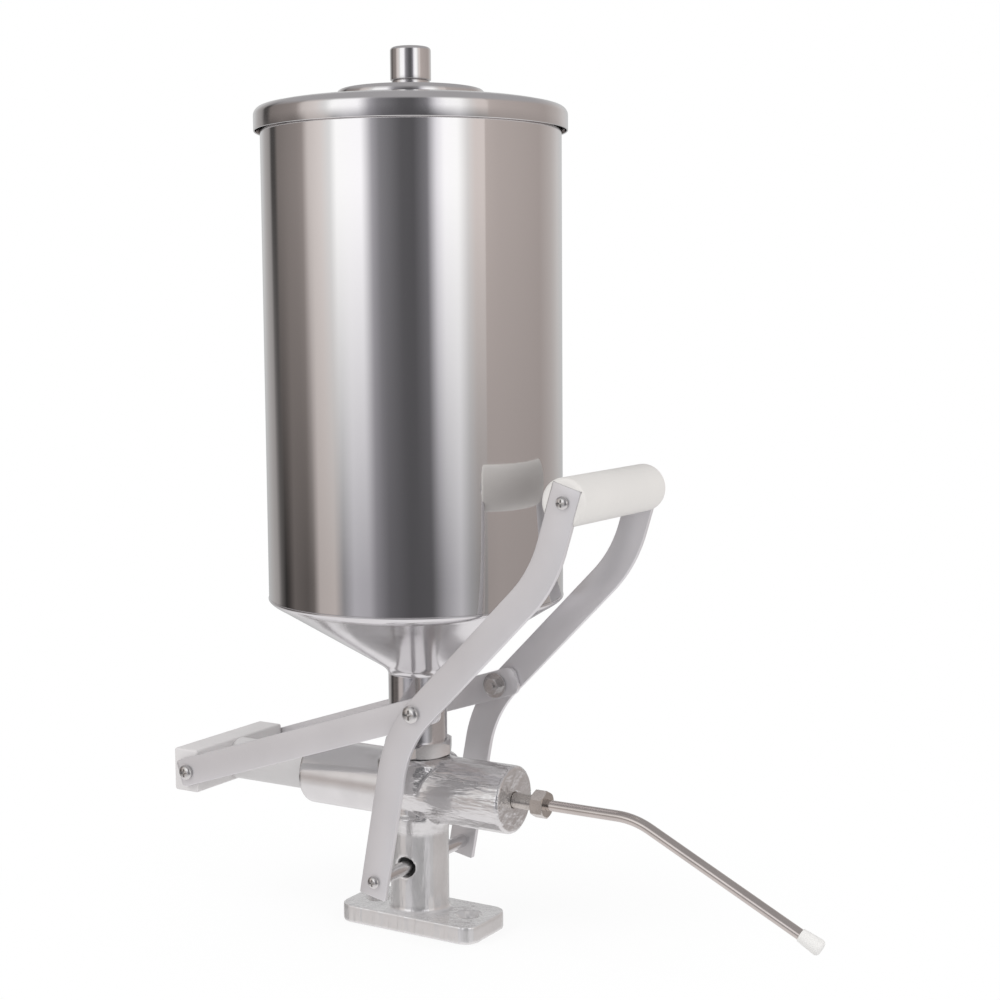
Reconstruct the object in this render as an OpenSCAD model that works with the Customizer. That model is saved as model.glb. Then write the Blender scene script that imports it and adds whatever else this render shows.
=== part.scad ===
// Hand-lever churro filler: a steel tank stands on a small cast plunger pump with a bench foot.
// Pulling the lever forward draws the two links and the crosshead along, and the plunger pushes
// the filling out through the bent nozzle tube.
// X runs along the pump towards the nozzle, Z is up, and the tank's axis is the Z axis.
// The origin is on the underside of the foot, under the tank's axis.

/* [Foot and pillar] */
// Length of the foot along the pump
foot_l = 93.5; // [80:0.5:120]
// Width of the foot
foot_w = 42; // [40:1:60]
// Thickness of the foot
foot_t = 10.4; // [8:0.2:14]
// Radius of the foot's corners
foot_corner = 9; // [4:0.5:14]
// How far the foot's middle lies in front of the tank's axis
foot_shift = 1.8; // [0:0.1:4]
// Distance between the two bench bolt holes
bolt_pitch = 63; // [58:1:68]
// Diameter of the bench bolt holes
bolt_hole_d = 9; // [6:0.5:10]
// Diameter of the countersink on each bolt hole
bolt_sink_d = 15; // [12:0.5:16]
// Diameter of the pillar
pillar_d = 34.6; // [32:0.2:38]
// Radius of the fillet round the pillar's foot
pillar_fillet = 3; // [1:0.5:3]

/* [Pump barrel] */
// Height of the pump's axis over the bench
axis_z = 83; // [78:1:95]
// Outside diameter of the barrel
barrel_d = 39.2; // [38:0.2:46]
// From the tank's axis to the barrel's front face
barrel_front = 65.6; // [58:0.2:80]
// From the tank's axis to the barrel's rear face
barrel_rear = 74.2; // [66:0.2:84]
// Rounding of the barrel's front edge
front_round = 1.5; // [1:0.5:5]
// Rounding of the barrel's rear edge
rear_round = 1.5; // [0.5:0.5:2]
// Thickness of the barrel's front wall
front_wall = 10.6; // [9:0.2:13]
// Diameter of the boss that takes the throat
boss_d = 46; // [43:0.5:52]
// How far the boss rises over the top of the barrel
boss_rise = 0.1; // [0:0.1:2]
// Width of the chamfer round the boss's top
boss_chamfer = 4.5; // [2:0.5:4.5]
// Wall of the steel liner in the barrel
liner_wall = 1.4; // [1:0.1:2]
// Diameter of the inlet port over the plunger
port_d = 22; // [14:1:24]
// Depth of the wiper ring's pocket at the rear
wiper_l = 8; // [5:0.5:12]
// Radial thickness of the wiper ring
wiper_t = 3.7; // [3:0.1:4]

/* [Throat and funnel] */
// Outside diameter of the throat tube
throat_d = 34; // [31:0.5:35]
// Wall of the throat tube
throat_wall = 3.5; // [2.5:0.5:5]
// Height of the throat tube below the cone
throat_l = 51; // [40:1:70]
// Thickness of the flat seal under the throat
seal_t = 0.8; // [0.5:0.1:2]
// Width of the throat's lock nut across its flats
lock_nut_af = 38; // [35.4:0.1:40]
// Height of the throat's lock nut
lock_nut_h = 8.8; // [6:0.2:12]
// Height of the cone
cone_h = 40.7; // [32:0.1:60]
// Height of the funnel's rim below the tank
rim_h = 6.3; // [6:0.1:12]
// Thickness of the cone
cone_wall = 3; // [2:0.25:5]
// Height of the spigot that the tank is pushed over
spigot_h = 8; // [6:0.5:14]
// Thickness of the spigot
spigot_wall = 4; // [3.5:0.25:6]

/* [Tank] */
// Outside diameter of the tank
tank_d = 170; // [150:1:190]
// Height of the tank
tank_h = 274.6; // [180:0.2:320]
// Thickness of the tank's sheet
tank_wall = 0.8; // [0.6:0.1:1.5]
// Thickness of the rolled bead round the tank's mouth
bead_d = 2.9; // [2.4:0.1:4]

/* [Lid] */
// Thickness of the lid's sheet
lid_wall = 0.8; // [0.6:0.1:1.2]
// Gap between the tank's bead and the lid's skirt
lid_gap = 0.7; // [0.5:0.1:2]
// Height of the lid's skirt, with its shoulder
skirt_h = 13.3; // [9:0.1:20]
// Radius of the lid's shoulder
shoulder_r = 4.8; // [3:0.1:6]
// Rise of the lid from its shoulder to the raised disc
dome_rise = 4.7; // [3:0.1:12]
// Diameter of the raised disc in the lid's middle
disc_d = 84; // [60:1:100]
// Height of the raised disc
disc_h = 5.1; // [2:0.1:7]
// Diameter of the lid's knob
knob_d = 23; // [18:0.5:30]
// Height of the lid's knob
knob_h = 18.4; // [14:0.2:30]
// Rounding of the knob's top edge
knob_round = 2; // [1:0.25:4]
// Diameter of the collar under the knob
collar_d = 21.4; // [16:0.2:26]
// Height of the collar under the knob
collar_h = 5.5; // [3:0.1:8]

/* [Lever] */
// Height of the lever's pivot over the bench
pivot_z = 38; // [34:0.5:44]
// How far the lever's pivot lies in front of the tank's axis
pivot_x = 1; // [-2:0.5:3]
// Distance between the two arms' inner faces
arm_gap = 90; // [86:0.5:104]
// Width of the arms' flat bar
arm_w = 17.3; // [15:0.1:20]
// Thickness of the arms' flat bar
arm_t = 3.2; // [2.5:0.1:4]
// How far the arms reach below the pivot
arm_tail = 8.7; // [7:0.1:12]
// Lean of the arms' lower stretch from the vertical
lean_low = 10.7; // [8:0.1:13]
// Length from the pivot to the arms' lower bend
arm_low = 87.2; // [82:0.2:92]
// Lean of the arms' middle stretch
lean_mid = 44.7; // [42:0.1:47]
// Length between the arms' two bends
arm_mid = 133.6; // [120:0.2:146]
// Lean of the arms' top stretch
lean_top = 17; // [12:0.1:22]
// Length from the upper bend to the grip's axis
arm_top = 43.6; // [38:0.2:50]
// How far the arms reach beyond the grip's axis
arm_head = 9; // [8:0.2:12]
// Radius of the arms' bends along the middle of the bar
bend_r = 75; // [60:1:90]
// Diameter of the axle through the pillar
axle_d = 8; // [6:0.2:9]
// Wall of the bush round the axle
bush_wall = 1.8; // [1.5:0.05:3]
// How far the bush lies back from the pillar's sides
bush_recess = 4; // [2:0.5:6]
// Diameter of the grip
grip_d = 26.6; // [22:0.2:32]
// Rounding of the grip's edges
grip_round = 2.5; // [2:0.25:6]

/* [Plunger and crosshead] */
// Diameter of the plunger
plunger_d = 25.4; // [22:0.2:26]
// From the tank's axis to the plunger's front face
plunger_front = 13.4; // [12:0.2:18]
// From the tank's axis to the crosshead's pins
pin_x = 139; // [130:0.5:150]
// Length of the crosshead along the pump
head_l = 18; // [16:0.5:28]
// How far the crosshead's middle lies behind its pins
head_set = 3.5; // [0:0.5:4]
// Height of the crosshead
head_h = 26; // [24:0.5:32]
// Rounding of the crosshead's long edges
head_round = 1.5; // [1:0.25:5]
// Thickness of the plunger's seal rings
ring_d = 2.6; // [2:0.1:3]

/* [Links] */
// How far the links' front pins lie before the lever's pivot
crank_x = 26.7; // [24:0.1:30]
// How far the links' front pins lie above the lever's pivot
crank_z = 99.9; // [96:0.1:104]
// Width of the links' flat bar
link_w = 16.5; // [15.5:0.5:19]
// Thickness of the links' flat bar
link_t = 3.2; // [2.5:0.1:4]
// How far the links reach beyond their front pins
link_nose = 15; // [12:0.5:18]
// Rounding of the links' front corners
link_round = 5; // [3:0.5:7]
// How far the links reach behind the crosshead's pins
link_tail = 5.8; // [5:0.2:9]
// Side clearance of the links' front holes round their pins
crank_slack = 3.5; // [3.5:0.1:4]

/* [Nozzle] */
// Diameter of the outlet nipple
nipple_d = 9; // [7:0.2:10]
// Length of the gland nut
gland_l = 8; // [7:0.5:20]
// Width of the gland nut across its flats
gland_af = 14; // [13:0.1:19]
// How far the gland nut lies from the barrel's face
gland_gap = 13.4; // [2:0.1:18]
// Diameter of the nozzle tube
tube_d = 6.2; // [5:0.1:6.4]
// Wall of the nozzle tube
tube_wall = 0.8; // [0.5:0.1:1.2]
// From the tank's axis to the corner of the tube's bend
bend_x = 141.6; // [125:0.2:180]
// Angle of the tube's bend
bend_angle = 26.5; // [0:0.1:60]
// Radius of the tube's bend along its middle
tube_bend_r = 45; // [12:1:60]
// Length of the tube beyond the bend's corner
tube_l = 117.6; // [60:0.2:160]
// Length of the tip cap
tip_l = 13; // [10:0.5:18]
// Diameter of the tip cap's mouth
tip_d = 7.6; // [7.2:0.1:9]
// Diameter of the tip cap's end
tip_end_d = 9.2; // [7.2:0.1:12]

/* [Fasteners] */
// Diameter of the small screws in the grip and in the axle
small_screw_d = 4; // [3:0.5:5]
// Head diameter of the small screws
small_head_d = 7.4; // [6.5:0.1:9]
// Diameter of the pivot bolts at the arms' bends
crank_bolt_d = 5; // [4:0.5:5]
// Head diameter of the pivot bolts
crank_head_d = 10.2; // [9:0.1:11]
// Diameter of the crosshead's shoulder screws
head_pin_d = 6; // [5:0.5:7]
// Head diameter of the crosshead's shoulder screws
head_pin_head_d = 9; // [8.6:0.1:11]
// Diameter of the washers on the pivot bolts
washer_d = 15; // [13:0.5:16]
// Thickness of the washers on the pivot bolts
washer_t = 1; // [0.6:0.1:1.5]
// Diameter of the screw in the lid's knob
knob_screw_d = 5; // [4:0.5:6]
// Diameter of the screw that holds the plunger
plunger_screw_d = 6; // [5:0.5:8]

/* [Clearances] */
// Radial gap between pieces that are fixed in each other
fixed_gap = 0.05; // [0.03:0.01:0.1]
// Radial running clearance of pins, axle and plunger
run_gap = 0.06; // [0.02:0.01:0.09]
// Side gap between faces that move past each other
side_gap = 0.3; // [0.2:0.05:0.5]

/* [Hidden] */

$fn = 96;
sides = [-1, 1];
far = 400;              // longer than any cut needs to be
cut = 1;                // how far a cut runs past the face that it opens

steel = [0.80, 0.80, 0.80];
polished_steel = [0.72, 0.71, 0.71];
cast_metal = [0.76, 0.75, 0.74];
bar_metal = [0.75, 0.73, 0.75];
white_plastic = [0.91, 0.89, 0.87];
brass = [0.72, 0.63, 0.44];
black_rubber = [0.12, 0.12, 0.12];
dark_plastic = [0.16, 0.16, 0.16];

// Heights, from the bench up
barrel_top = axis_z + barrel_d / 2;
boss_top = barrel_top + boss_rise;
plunger_r = plunger_d / 2;
liner_in_r = plunger_r + run_gap;
liner_out_r = liner_in_r + liner_wall;
barrel_bore_r = liner_out_r + fixed_gap;
seat_z = axis_z + barrel_bore_r + 1;            // the casting is at least 1 mm thick under the seal
throat_z = seat_z + seal_t;
cone_foot_z = throat_z + throat_l;
rim_z = cone_foot_z + cone_h;
funnel_top = rim_z + rim_h;
tank_top = funnel_top + tank_h;
bead_off = shoulder_r - bead_d / 2 - lid_gap - lid_wall;       // the bead's middle from the shoulder's
bead_free = shoulder_r - lid_wall - bead_d / 2 - side_gap;     // how far apart the two may lie
bead_rise = sqrt(max(0, pow(bead_free, 2) - pow(max(0, bead_off), 2)));
lid_land_z = tank_top + max(side_gap + lid_wall, shoulder_r - bead_d / 2 - bead_rise);
lid_foot_z = lid_land_z - skirt_h;
dome_z = lid_land_z + dome_rise;
disc_z = dome_z + disc_h;
knob_z = disc_z + collar_h;

// Radii of the tank, the funnel and the lid
tank_in_r = tank_d / 2 - tank_wall;
spigot_r = tank_in_r - fixed_gap;
spigot_in_r = spigot_r - spigot_wall;
rim_r = tank_d / 2 + side_gap;
throat_r = throat_d / 2;
throat_in_r = throat_r - throat_wall;
bead_r = tank_in_r + bead_d;
lid_in_r = bead_r + lid_gap;
lid_r = lid_in_r + lid_wall;
seal_ring_r = 1.1;
groove_gap = 0.1;

// Along the pump
bore_front = barrel_front - front_wall;
wiper_r = plunger_r + wiper_t;
head_x = -pin_x;
head_mid = head_x - head_set;
head_back = head_mid - head_l / 2;
head_front = head_mid + head_l / 2;
screw_reach = 14;       // how deep the screws reach into the grip, the axle and the crosshead

// Across the pump: the crosshead, then the links, then the arms, each a side gap from the next
arm_in = arm_gap / 2;
arm_out = arm_in + arm_t;
link_out = arm_in - side_gap;
link_in = link_out - link_t;
head_w = 2 * (link_in - side_gap);

// Points of the lever, as [x, z]
function way(lean, length) = length * [sin(lean), cos(lean)];
pivot = [pivot_x, pivot_z];
arm_start = pivot - way(lean_low, arm_tail);
bend_low = pivot + way(lean_low, arm_low);
bend_high = bend_low + way(lean_mid, arm_mid);
grip_at = bend_high + way(lean_top, arm_top);
arm_end = grip_at + way(lean_top, arm_head);
crank_pin = pivot + [crank_x, crank_z];
head_pin = [head_x, axis_z];
link_l = norm(crank_pin - head_pin);
link_angle = atan2(crank_pin[1] - head_pin[1], crank_pin[0] - head_pin[0]);
crank_hole_r = crank_bolt_d / 2 + crank_slack;

// Points of the nozzle
nipple_root = 7;        // length of the nipple's thread in the casting
nipple_bore_d = 4.6;
gland_x = barrel_front + gland_gap;
gland_end = gland_x + gland_l;
gland_nest = 0.4 * gland_l;             // how far the nipple reaches into the nut
nipple_end = gland_x + gland_nest;
gland_lip = 1.8;        // the gland nut's wall at its front
tube_start = nipple_end + side_gap;
tube_r = tube_d / 2;
tube_in_r = tube_r - tube_wall;
bend_tangent = tube_bend_r * tan(bend_angle / 2);
tip_bore_l = 9.5;
tip_cover = tip_bore_l - side_gap;      // length of tube inside the tip cap

// ---------- shared shapes ----------

// Points of a curve that leaves a towards the corner b and arrives at c
function bow(a, b, c, steps = 8) =
    [for (i = [0:steps]) let (t = i / steps) (1 - t) * (1 - t) * a + 2 * t * (1 - t) * b + t * t * c];

// Points of an arc about centre m
function arc(m, r, from, to, steps = 8) =
    [for (i = [0:steps]) let (a = from + (to - from) * i / steps) m + r * [cos(a), sin(a)]];

// The same points in the opposite order
function reversed(list) = [for (i = [len(list) - 1:-1:0]) list[i]];

// Turns what lies along +Z to lie along +X
module along_x() { rotate([0, 90, 0]) children(); }

// Turns an outline drawn as x and z into a plate that spans y0 to y1
module plate_y(y0, y1) { translate([0, y1, 0]) rotate([90, 0, 0]) linear_extrude(y1 - y0) children(); }

// A straight cylinder across the pump at the point p = [x, z], from y0 to y1
module bar_y(p, r, y0, y1) { translate([p[0], y1, p[1]]) rotate([90, 0, 0]) cylinder(r = r, h = y1 - y0); }

// A solid of revolution about Z from a closed outline of [radius, height] points
module turned(points) { rotate_extrude() polygon(points); }

// A ring of round section about Z
module round_ring(r, wire_r, z) { translate([0, 0, z]) rotate_extrude() translate([r, 0]) circle(wire_r, $fn = 32); }

// A six-sided nut blank along +Z with its corners turned off at both ends
module hex_blank(af, h) {
    corner_r = af / 2 / cos(30);
    bevel = corner_r - af / 2;
    intersection() {
        cylinder(r = corner_r, h = h, $fn = 6);
        turned([[0, 0], [af / 2, 0], [corner_r + 0.01, bevel * 0.6],
                [corner_r + 0.01, h - bevel * 0.6], [af / 2, h], [0, h]]);
    }
}

// A pan-head screw with a cross recess. Its head stands on z = 0 and its shank hangs below.
module pan_screw(d, l, head_d, head_h) {
    difference() {
        union() {
            turned(concat([[0, 0], [head_d / 2, 0], [head_d / 2, head_h * 0.45]],
                          bow([head_d / 2, head_h * 0.45], [head_d / 2 * 0.85, head_h], [0, head_h], 6)));
            translate([0, 0, -l]) cylinder(d = d, h = l + 0.01);
        }
        for (turn = [0, 90])
            rotate([0, 0, turn]) translate([-head_d * 0.28, -head_d * 0.06, head_h * 0.45])
                cube([head_d * 0.56, head_d * 0.12, head_h]);
    }
}

// Puts a shape that lies along +Z at the point p = [x, z], pointing out on one side, at distance y
module outward(side, p, y) { translate([p[0], side * y, p[1]]) rotate([-side * 90, 0, 0]) children(); }

// ---------- pump casting and what is fixed to it ----------

module foot_outline() {
    inner_l = foot_l / 2 - foot_corner;
    inner_w = foot_w / 2 - foot_corner;
    square([foot_l, 2 * inner_w], center = true);
    square([2 * inner_l, foot_w], center = true);
    for (x = [-inner_l, inner_l], y = [-inner_w, inner_w]) translate([x, y]) circle(foot_corner);
}

module barrel_blank() {
    r = barrel_d / 2;
    along_x() turned(concat([[0, -barrel_rear]],
        arc([r - rear_round, -barrel_rear + rear_round], rear_round, -90, 0, 4),
        arc([r - front_round, barrel_front - front_round], front_round, 0, 90, 6),
        [[0, barrel_front]]));
}

module pillar_blank() {
    r = pillar_d / 2;
    flare_z = axis_z - barrel_d / 2;
    cylinder(r = r, h = axis_z);
    turned(concat([[0, foot_t - 0.5], [r + pillar_fillet, foot_t - 0.5]],
        arc([r + pillar_fillet, foot_t + pillar_fillet], pillar_fillet, -90, -180, 6),
        [[0, foot_t + pillar_fillet]]));
    translate([0, 0, flare_z - 6]) cylinder(r1 = r, r2 = r + 2, h = 10);
}

module boss_blank() {
    r = boss_d / 2;
    chamfer_h = boss_chamfer * 0.65;
    turned([[0, axis_z], [r, axis_z], [r, boss_top - chamfer_h], [r - boss_chamfer, boss_top], [0, boss_top]]);
}

module bolt_holes() {
    sink_h = (bolt_sink_d - bolt_hole_d) / 2;
    for (side = sides) translate([foot_shift + side * bolt_pitch / 2, 0, 0]) {
        translate([0, 0, -cut]) cylinder(d = bolt_hole_d, h = foot_t + 2 * cut);
        translate([0, 0, foot_t - sink_h])
            cylinder(d1 = bolt_hole_d, d2 = bolt_sink_d + 2, h = sink_h + 1);
    }
}

module pump_body() {
    bush_r = axle_d / 2 + run_gap + bush_wall;
    color(cast_metal) difference() {
        union() {
            translate([foot_shift, 0, 0]) linear_extrude(foot_t) foot_outline();
            pillar_blank();
            translate([0, 0, axis_z]) barrel_blank();
            boss_blank();
        }
        translate([-barrel_rear - cut, 0, axis_z]) along_x()
            cylinder(r = barrel_bore_r, h = barrel_rear + bore_front + cut);
        translate([-barrel_rear - cut, 0, axis_z]) along_x() cylinder(r = wiper_r + fixed_gap, h = wiper_l + cut);
        translate([0, 0, axis_z]) along_x() cylinder(d = nipple_bore_d, h = far);
        translate([barrel_front - nipple_root, 0, axis_z]) along_x()
            cylinder(r = nipple_d / 2 + fixed_gap, h = far);
        translate([0, 0, axis_z]) cylinder(d = port_d, h = far);
        translate([0, 0, seat_z]) cylinder(r = throat_r + fixed_gap, h = far);
        bar_y(pivot, bush_r + fixed_gap, -far, far);
        bolt_holes();
    }
}

module cylinder_liner() {
    back = -barrel_rear + wiper_l;
    color(steel) difference() {
        translate([back, 0, axis_z]) along_x() cylinder(r = liner_out_r, h = bore_front - back);
        translate([back - cut, 0, axis_z]) along_x() cylinder(r = liner_in_r, h = far);
        translate([0, 0, axis_z]) cylinder(d = port_d, h = far);
    }
}

module rod_wiper() {
    color(white_plastic) translate([-barrel_rear, 0, axis_z]) along_x() difference() {
        cylinder(r = wiper_r, h = wiper_l);
        translate([0, 0, -cut]) cylinder(r = plunger_r + run_gap, h = wiper_l + 2 * cut);
    }
}

module pivot_bush() {
    half = pillar_d / 2 - bush_recess;
    color(dark_plastic) difference() {
        bar_y(pivot, axle_d / 2 + run_gap + bush_wall, -half, half);
        bar_y(pivot, axle_d / 2 + run_gap, -far, far);
    }
}

module throat_seal() {
    color(black_rubber) translate([0, 0, seat_z]) difference() {
        cylinder(r = throat_r - fixed_gap, h = seal_t);
        translate([0, 0, -cut]) cylinder(r = throat_in_r, h = seal_t + 2 * cut);
    }
}

module throat_lock_nut() {
    color(steel) translate([0, 0, boss_top]) difference() {
        hex_blank(lock_nut_af, lock_nut_h);
        translate([0, 0, -cut]) cylinder(r = throat_r + fixed_gap, h = lock_nut_h + 2 * cut);
    }
}

// ---------- funnel and tank ----------

module funnel() {
    edge_in = 7;                                    // the rim's rounding meets the cone here
    edge_r = rim_r - edge_in;
    slope = (cone_h - 6.5) / (edge_r - throat_r - 5.5);
    toe_r = throat_r + 5.5;
    toe_z = rim_z - (edge_r - toe_r) * slope;
    lift = cone_wall * sqrt(1 + slope * slope);     // the cone's wall, measured upright
    inner_z = rim_z + lift - (edge_r - spigot_in_r) * slope;
    color(cast_metal) difference() {
        turned(concat(
            [[spigot_r, funnel_top + spigot_h], [spigot_r, funnel_top], [rim_r, funnel_top]],
            bow([rim_r, rim_z + 5.6], [rim_r, rim_z + 0.89 * edge_in * slope], [edge_r, rim_z]),
            bow([toe_r, toe_z], [throat_r, toe_z - 5.5 * slope], [throat_r, cone_foot_z]),
            [[throat_r, throat_z], [throat_in_r, throat_z],
             [throat_in_r, inner_z - (spigot_in_r - throat_in_r) * slope],
             [spigot_in_r, inner_z], [spigot_in_r, funnel_top + spigot_h]]));
        translate([0, 0, funnel_top + spigot_h / 2 - seal_ring_r - groove_gap]) difference() {
            cylinder(r = tank_in_r + cut, h = 2 * (seal_ring_r + groove_gap));
            translate([0, 0, -cut])
                cylinder(r = tank_in_r - fixed_gap - 2 * seal_ring_r - groove_gap, h = far);
        }
    }
}

module tank_seal() {
    color(black_rubber)
        round_ring(tank_in_r - fixed_gap - seal_ring_r, seal_ring_r, funnel_top + spigot_h / 2);
}

module tank() {
    color(polished_steel) {
        difference() {
            translate([0, 0, funnel_top]) cylinder(d = tank_d, h = tank_h - bead_d / 2, $fn = 180);
            cylinder(r = tank_in_r, h = far + tank_h, $fn = 180);
        }
        round_ring(tank_in_r + bead_d / 2, bead_d / 2, tank_top - bead_d / 2);
    }
}

// ---------- lid ----------

// The lid's upper outline, from the skirt's foot in to the middle. The shell's inner side is
// the same outline, drawn closer to the axis and lower by the thickness of the sheet.
function lid_outline(inset) =
    let (r = lid_r - inset, land = lid_land_z - inset, dome = dome_z - inset, disc = disc_z - inset,
         turn = shoulder_r - inset, in_r = r - turn)
    concat([[r, lid_foot_z]],
           arc([in_r, land - turn], turn, 0, 90, 6),
           bow([in_r - 0.5, land], [r * 0.905, land + 0.38 * dome_rise], [disc_d / 2 + 1.5 - inset, dome], 10),
           bow([disc_d / 2 - inset, dome + 0.4], [disc_d / 2 - inset, disc],
               [disc_d / 2 - 2.5 - inset, disc], 6),
           [[0, disc]]);

module lid() {
    color(polished_steel) difference() {
        turned(concat(lid_outline(0), reversed(lid_outline(lid_wall))));
        translate([0, 0, disc_z - lid_wall - cut]) cylinder(d = knob_screw_d + 2 * fixed_gap, h = far);
    }
}

module lid_knob_collar() {
    color(steel) translate([0, 0, disc_z]) difference() {
        turned([[0, 0], [collar_d / 2 + 0.8, 0], [collar_d / 2 + 0.8, 1], [collar_d / 2, 1.4],
                [collar_d / 2, collar_h - 0.6], [collar_d / 2 - 0.6, collar_h], [0, collar_h]]);
        translate([0, 0, -cut]) cylinder(d = knob_screw_d + 2 * fixed_gap, h = collar_h + 2 * cut);
    }
}

module lid_knob() {
    r = knob_d / 2;
    color(polished_steel) translate([0, 0, knob_z]) difference() {
        turned(concat([[0, 0], [r - 0.5, 0], [r, 0.5]],
                      arc([r - knob_round, knob_h - knob_round], knob_round, 0, 90, 6),
                      [[0, knob_h]]));
        translate([0, 0, -cut]) cylinder(d = knob_screw_d + 2 * fixed_gap, h = knob_h * 0.6 + cut);
    }
}

knob_washer_t = 1;
module lid_knob_washer() {
    z = disc_z - lid_wall - knob_washer_t;
    color(steel) translate([0, 0, z]) difference() {
        cylinder(d = 2.4 * knob_screw_d, h = knob_washer_t);
        translate([0, 0, -cut]) cylinder(d = knob_screw_d + 2 * fixed_gap, h = knob_washer_t + 2 * cut);
    }
}

module lid_knob_screw() {
    shank = knob_washer_t + lid_wall + collar_h + knob_h * 0.5;
    color(steel) translate([0, 0, disc_z - lid_wall - knob_washer_t]) rotate([180, 0, 0])
        pan_screw(knob_screw_d, shank, 1.8 * knob_screw_d, 0.6 * knob_screw_d);
}

// ---------- lever ----------

// One side of the arm's outline, from its foot to its top. It lies half a bar's width from the
// middle line, in front of it where s is 1 and behind it where s is -1.
function arm_side(s) =
    let (half = s * arm_w / 2,
         cut_low = bend_r * tan((lean_mid - lean_low) / 2),
         cut_high = bend_r * tan((lean_mid - lean_top) / 2),
         front_low = [cos(lean_low), -sin(lean_low)],
         front_top = [cos(lean_top), -sin(lean_top)],
         m_low = bend_low - way(lean_low, cut_low) + bend_r * front_low,
         m_high = bend_high + way(lean_top, cut_high) - bend_r * front_top)
    concat([arm_start + half * front_low],
           arc(m_low, bend_r - half, 180 - lean_low, 180 - lean_mid, 14),
           arc(m_high, bend_r + half, -lean_mid, -lean_top, 12),
           [arm_end + half * front_top]);

module arm_outline() { polygon(concat(arm_side(-1), reversed(arm_side(1)))); }

module arm(side) {
    color(bar_metal) difference() {
        plate_y(side > 0 ? arm_in : -arm_out, side > 0 ? arm_out : -arm_in) arm_outline();
        for (p = [pivot, grip_at]) bar_y(p, small_screw_d / 2 + fixed_gap, -far, far);
        bar_y(crank_pin, crank_bolt_d / 2 + fixed_gap, -far, far);
    }
}

module lever_arm_near() { arm(-1); }
module lever_arm_far() { arm(1); }

// The grip's ends reach to the arms' outer faces, and each arm's top is let into a slot in its end
module grip() {
    r = grip_d / 2;
    half = arm_out;
    hole_end = arm_in - screw_reach - 1;
    color(white_plastic) difference() {
        translate([grip_at[0], 0, grip_at[1]]) rotate([90, 0, 0])
            turned(concat([[0, -half]], arc([r - grip_round, -half + grip_round], grip_round, -90, 0, 6),
                          arc([r - grip_round, half - grip_round], grip_round, 0, 90, 6), [[0, half]]));
        for (side = sides) {
            bar_y(grip_at, small_screw_d / 2 + fixed_gap,
                  side > 0 ? hole_end : -far, side > 0 ? far : -hole_end);
            translate([grip_at[0], 0, grip_at[1]]) rotate([0, lean_top, 0])
                translate([-arm_w / 2 - side_gap, side > 0 ? arm_in : -arm_in - far, -far])
                    cube([arm_w + 2 * side_gap, far, far + arm_head + side_gap]);
        }
    }
}

module small_screws(p) {
    color(steel) for (side = sides) outward(side, p, arm_out)
        pan_screw(small_screw_d, arm_t + screw_reach, small_head_d, 0.35 * small_head_d);
}

module grip_screws() { small_screws(grip_at); }
module axle_screws() { small_screws(pivot); }

module pivot_axle() {
    color(steel) difference() {
        bar_y(pivot, axle_d / 2, -arm_in, arm_in);
        for (side = sides) outward(-side, pivot, 0) translate([0, 0, arm_in - screw_reach - 1])
            cylinder(r = small_screw_d / 2 + fixed_gap, h = screw_reach + 1 + cut);
    }
}

crank_nut_h = 4;
crank_nut_af = 1.6 * crank_bolt_d + 1;
washer_out = link_in - side_gap;
nut_out = washer_out - washer_t;

module link_bolts() {
    color(steel) for (side = sides) outward(side, crank_pin, arm_out)
        pan_screw(crank_bolt_d, arm_out - nut_out + crank_nut_h + 1.2, crank_head_d, 0.32 * crank_head_d);
}

module link_bolt_washers() {
    color(steel) for (side = sides) outward(side, crank_pin, nut_out) difference() {
        cylinder(d = washer_d, h = washer_t);
        translate([0, 0, -cut]) cylinder(r = crank_bolt_d / 2 + fixed_gap, h = washer_t + 2 * cut);
    }
}

module link_bolt_nuts() {
    color(steel) for (side = sides) outward(side, crank_pin, nut_out - crank_nut_h) difference() {
        hex_blank(crank_nut_af, crank_nut_h);
        translate([0, 0, -cut]) cylinder(r = crank_bolt_d / 2 + fixed_gap, h = crank_nut_h + 2 * cut);
    }
}

// ---------- plunger, crosshead and links ----------

head_socket = 8;        // how deep the plunger sits in the crosshead
head_pin_reach = screw_reach + side_gap;

module crosshead_outline() {
    inner = [head_l / 2 - head_round, head_h / 2 - head_round];
    square([head_l, 2 * inner[1]], center = true);
    square([2 * inner[0], head_h], center = true);
    for (x = [-inner[0], inner[0]], z = [-inner[1], inner[1]]) translate([x, z]) circle(head_round);
}

module crosshead() {
    color(white_plastic) difference() {
        translate([head_mid, 0, axis_z]) plate_y(-head_w / 2, head_w / 2) crosshead_outline();
        translate([head_front - head_socket, 0, axis_z]) along_x()
            cylinder(r = plunger_r - 2 + fixed_gap, h = far);
        translate([head_back - cut, 0, axis_z]) along_x()
            cylinder(r = plunger_screw_d / 2 + fixed_gap, h = head_l + 2 * cut);
        for (side = sides) outward(side, head_pin, head_w / 2 - head_pin_reach)
            cylinder(r = head_pin_d / 2 + fixed_gap, h = head_pin_reach + cut);
    }
}

ring_at = [7, 17];      // distance of the seal rings from the plunger's front face

module plunger() {
    length = -plunger_front - head_front;
    groove_r = plunger_r - ring_d;
    color(white_plastic) translate([head_front, 0, axis_z]) along_x() difference() {
        turned([[0, -head_socket], [plunger_r - 2, -head_socket], [plunger_r - 2, 0], [plunger_r, 0],
                [plunger_r, length - 1], [plunger_r - 1, length], [0, length]]);
        for (back = ring_at) translate([0, 0, length - back - ring_d / 2 - groove_gap]) difference() {
            cylinder(r = plunger_r + cut, h = ring_d + 2 * groove_gap);
            translate([0, 0, -cut]) cylinder(r = groove_r, h = ring_d + 2 * groove_gap + 2 * cut);
        }
        translate([0, 0, -head_socket - cut])
            cylinder(r = plunger_screw_d / 2 + fixed_gap, h = head_socket + 22 + cut);
    }
}

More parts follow.
